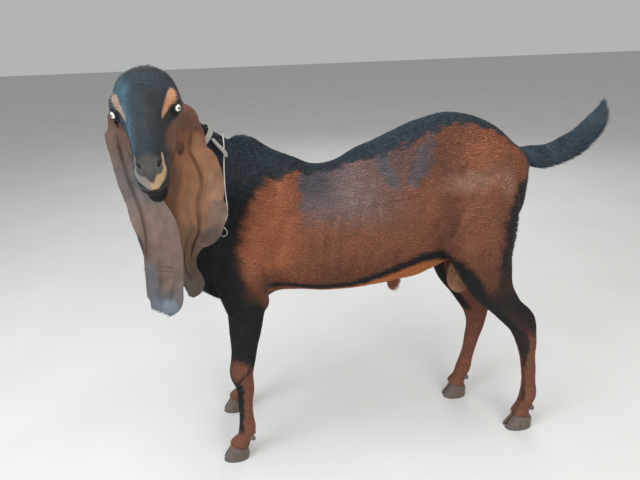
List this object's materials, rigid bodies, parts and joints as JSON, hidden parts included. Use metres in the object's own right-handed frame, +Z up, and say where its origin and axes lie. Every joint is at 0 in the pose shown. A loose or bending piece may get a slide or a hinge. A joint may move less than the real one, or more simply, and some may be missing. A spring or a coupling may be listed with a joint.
{
  "type": "goat",
  "caption": "Life-size standing buck goat with a Roman nose, very long hanging ears, a raised tail and its head turned to its left side, wearing a plain collar.",
  "frame": {"origin": "centre of the bounding box on the floor, under the middle of the animal", "axes": "+Z up, +X from the chest towards the tail, the left flank and the muzzle on the -Y side"},
  "size_m": [1.1972, 0.5249, 1.1148],
  "materials": {
    "bay_coat": "short glossy red-brown hair",
    "black_coat": "short glossy black hair",
    "face_coat": "short black hair with a blue-grey sheen",
    "tan_coat": "thin pale tan hair",
    "brown_coat": "short brown hair",
    "grey_ear": "thin mauve-grey hair",
    "hoof_horn": "dull grey horn",
    "eye": "wet, pale iris with a dark bar pupil",
    "webbing": "worn grey webbing",
    "cord": "thin pale cord",
    "ring_steel": "worn steel wire"
  },
  "bodies": {
    "root": {"claw_fore_left_inner": "hoof_horn", "claw_fore_left_outer": "hoof_horn", "claw_fore_right_inner": "hoof_horn", "claw_fore_right_outer": "hoof_horn", "claw_hind_left_inner": "hoof_horn", "claw_hind_left_outer": "hoof_horn", "claw_hind_right_inner": "hoof_horn", "claw_hind_right_outer": "hoof_horn", "collar_strap": "webbing", "collar_tongue": "webbing", "dewclaw_fore_left_inner": "hoof_horn", "dewclaw_fore_left_outer": "hoof_horn", "dewclaw_fore_right_inner": "hoof_horn", "dewclaw_fore_right_outer": "hoof_horn", "dewclaw_hind_left_inner": "hoof_horn", "dewclaw_hind_left_outer": "hoof_horn", "dewclaw_hind_right_inner": "hoof_horn", "dewclaw_hind_right_outer": "hoof_horn", "ear_left": "brown_coat", "ear_right": "grey_ear", "eye_left": "eye", "eye_right": "eye", "foreleg_left": "black_coat", "foreleg_left_lower": "brown_coat", "foreleg_right": "black_coat", "foreleg_right_lower": "brown_coat", "head": "face_coat", "hindleg_left": "bay_coat", "hindleg_left_lower": "brown_coat", "hindleg_right": "bay_coat", "hindleg_right_lower": "brown_coat", "lead_ring": "ring_steel", "lower_jaw": "tan_coat", "neck": "black_coat", "neck_cord": "cord", "prepuce": "brown_coat", "scrotum": "tan_coat", "tail": "black_coat", "trunk": "bay_coat"}
  },
  "joints": []
}
